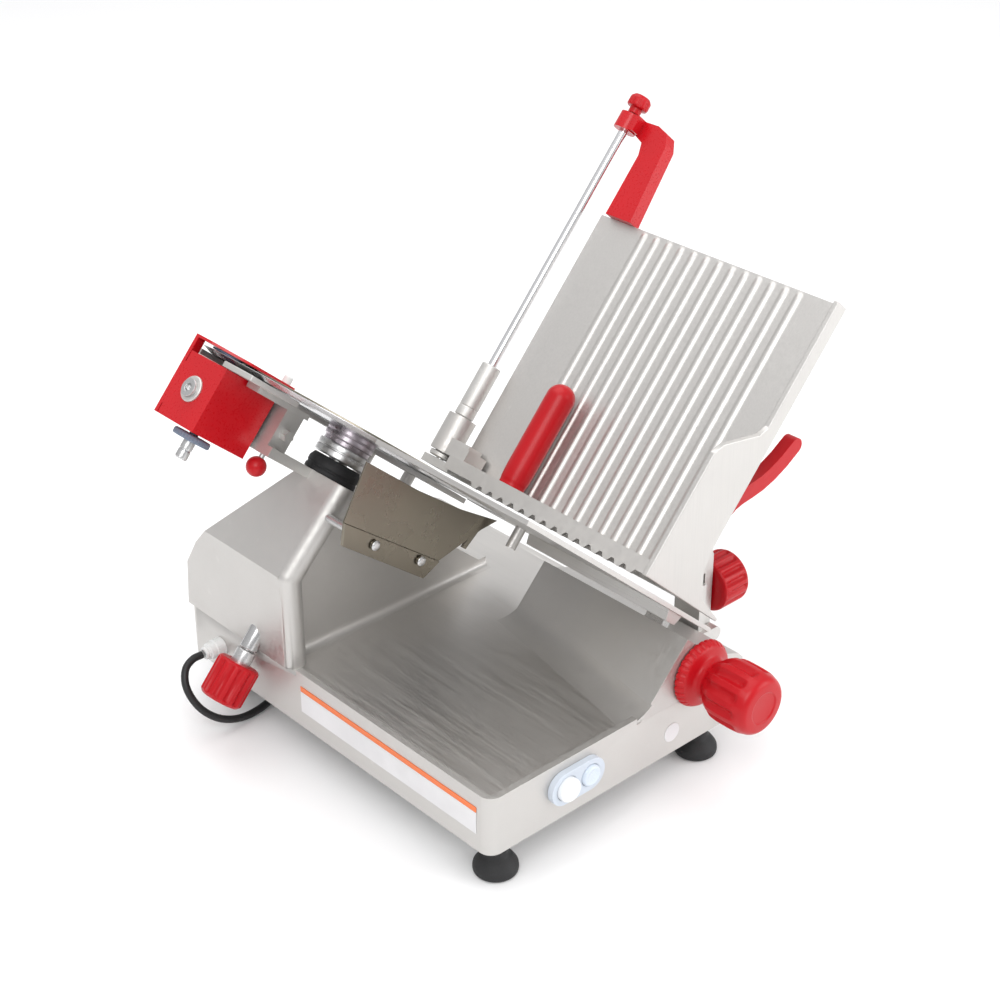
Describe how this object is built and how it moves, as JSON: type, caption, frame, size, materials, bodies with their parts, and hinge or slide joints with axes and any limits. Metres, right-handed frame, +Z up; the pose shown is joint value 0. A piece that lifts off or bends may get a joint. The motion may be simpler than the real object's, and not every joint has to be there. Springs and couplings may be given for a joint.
{
  "type": "deli meat slicer",
  "caption": "Gravity-feed deli slicer: tilted round blade and gauge plate over a catch deck, sliding ribbed tray with toothed press, red knobs and a top sharpener.",
  "frame": {"origin": "on the table, under the middle of the machine's bounding box, cord left out", "axes": "+X to the product tray's side, +Y to the back (the operator stands at -Y), +Z up"},
  "size_m": [0.5392, 0.5996, 0.494],
  "materials": {
    "anodised_casting": "brushed and anodised",
    "cast_aluminium": "fine cast",
    "steel": "turned",
    "steel_sheet": "plain sheet",
    "polished_steel": "polished",
    "blade_steel": "ground and polished",
    "hub_steel": "turned",
    "chrome": "bright",
    "black_rubber": "matt",
    "black_plastic": "matt",
    "motor_paint": "satin",
    "grey_nylon": "matt",
    "blue_grey_rubber": "matt",
    "label_white": "satin film",
    "label_orange": "satin film",
    "red_plastic": "semi-gloss",
    "red_paint": "gloss powder coat",
    "stone_blue": "abrasive",
    "button_white": "gloss",
    "button_blue": "gloss",
    "cord_black": "matt"
  },
  "bodies": {
    "frame": {"base_deck": "anodised_casting", "gauge_housing": "anodised_casting", "motor_tower": "anodised_casting", "bottom_cover": "steel_sheet", "feet": "black_rubber", "foot_studs": "steel", "shaft_seal": "black_rubber", "bearing_housing": "cast_aluminium", "shaft_bearings": "steel", "motor_shell": "motor_paint", "motor_mount": "steel_sheet", "drive_belt": "black_rubber", "ring_guard": "anodised_casting", "blade_cover": "polished_steel", "deflector": "polished_steel", "deflector_studs": "steel", "sharp_mount": "cast_aluminium", "cable_gland": "grey_nylon", "switch_bezel": "blue_grey_rubber", "switch_body": "black_plastic", "label_plate": "label_white", "label_band": "label_orange", "badge_disc": "label_white", "rail_rods": "steel", "gauge_guide": "steel", "cord_lead": "cord_black", "cord_coil": "cord_black", "cord_plug": "cord_black"},
    "blade_set": {"blade": "blade_steel", "blade_hub": "hub_steel", "blade_shaft": "steel", "blade_pulley": "cast_aluminium"},
    "motor_set": {"motor_rotor": "steel"},
    "index_set": {"index_knob": "red_plastic", "index_shaft": "steel"},
    "gauge_set": {"gauge_plate": "anodised_casting", "gauge_arm": "steel"},
    "carriage": {"carriage_block": "cast_aluminium", "carriage_arm": "cast_aluminium"},
    "tray": {"tray_floor": "anodised_casting", "tray_wall": "anodised_casting", "tray_bracket": "cast_aluminium", "tray_lever": "red_plastic", "rod_arm": "red_plastic", "press_rod": "chrome", "rod_foot": "cast_aluminium"},
    "lock_knob": {"lock_knob": "red_plastic"},
    "rod_knob": {"rod_knob": "red_plastic"},
    "press_slide": {"press_sleeve": "cast_aluminium"},
    "press": {"press_arm": "anodised_casting", "press_grip": "red_plastic"},
    "sharpener": {"sharp_cover": "red_paint", "sharp_frame": "steel", "sharp_screw": "steel"},
    "wheel_low": {"sharp_wheel_low": "stone_blue"},
    "wheel_top": {"sharp_wheel_top": "stone_blue"},
    "pull_ball": {"pull_ball": "red_plastic"},
    "release_knob": {"release_knob": "red_plastic"},
    "start_button": {"start_button": "button_white"},
    "stop_button": {"stop_button": "button_blue"}
  },
  "joints": [
    {"name": "blade_spin", "type": "hinge", "parent": "frame", "child": "blade_set", "pos_m": [-0.12534, 0.10625, 0.24314], "axis": [0.6626, 0, 0.749], "continuous": true},
    {"name": "motor_spin", "type": "hinge", "parent": "frame", "child": "motor_set", "pos_m": [-0.11042, 0.13825, 0.14983], "axis": [0.6626, 0, 0.749], "continuous": true},
    {"name": "index_turn", "type": "hinge", "parent": "frame", "child": "index_set", "pos_m": [0.02783, -0.19175, 0.11097], "axis": [0, -1, 0], "range_deg": [0, 180]},
    {"name": "gauge_slide", "type": "slide", "parent": "frame", "child": "gauge_set", "axis": [-0.6626, 0, -0.749], "range_m": [0, 0.013]},
    {"name": "carriage_slide", "type": "slide", "parent": "frame", "child": "carriage", "axis": [0, 1, 0], "range_m": [0, 0.27]},
    {"name": "tray_tilt", "type": "hinge", "parent": "carriage", "child": "tray", "pos_m": [0.10637, -0.12175, 0.09], "axis": [0, 1, 0], "range_deg": [0, 35]},
    {"name": "lock_turn", "type": "hinge", "parent": "tray", "child": "lock_knob", "pos_m": [0.12787, -0.12175, 0.129], "axis": [1, 0, 0], "range_deg": [0, 270]},
    {"name": "rod_knob_turn", "type": "hinge", "parent": "tray", "child": "rod_knob", "pos_m": [0.25716, 0.11925, 0.48154], "axis": [0.6626, 0, 0.749], "range_deg": [0, 270]},
    {"name": "press_lift", "type": "slide", "parent": "tray", "child": "press_slide", "axis": [0.6626, 0, 0.749], "range_m": [0, 0.24]},
    {"name": "press_swing", "type": "hinge", "parent": "press_slide", "child": "press", "pos_m": [0.02392, 0.11925, 0.21791], "axis": [-0.6626, 0, -0.749], "range_deg": [0, 150]},
    {"name": "sharpener_slide", "type": "slide", "parent": "frame", "child": "sharpener", "axis": [-0.749, 0, 0.6626], "range_m": [0, 0.036]},
    {"name": "wheel_low_spin", "type": "hinge", "parent": "sharpener", "child": "wheel_low", "pos_m": [-0.21521, 0.15125, 0.32266], "axis": [0.6626, 0, 0.749], "continuous": true},
    {"name": "wheel_top_spin", "type": "hinge", "parent": "sharpener", "child": "wheel_top", "pos_m": [-0.19037, 0.15825, 0.35676], "axis": [0.6626, 0, 0.749], "continuous": true},
    {"name": "ball_pull", "type": "slide", "parent": "frame", "child": "pull_ball", "axis": [-0.6626, 0, -0.749], "range_m": [0, 0.006], "stiffness_N_per_m": 400, "springref_m": -0.002},
    {"name": "release_turn", "type": "hinge", "parent": "frame", "child": "release_knob", "pos_m": [-0.23689, 0.11725, 0.0748], "axis": [0.6626, 0, 0.749], "range_deg": [0, 270]},
    {"name": "start_press", "type": "slide", "parent": "frame", "child": "start_button", "axis": [0, 1, 0], "range_m": [0, 0.003], "stiffness_N_per_m": 500, "springref_m": -0.001},
    {"name": "stop_press", "type": "slide", "parent": "frame", "child": "stop_button", "axis": [0, 1, 0], "range_m": [0, 0.003], "stiffness_N_per_m": 500, "springref_m": -0.001}
  ],
  "couplings": [
    {"joint": "motor_spin", "follows": "blade_spin", "ratio": 2.2857},
    {"joint": "gauge_slide", "follows": "index_turn", "m_per_rad": 0.004138}
  ]
}
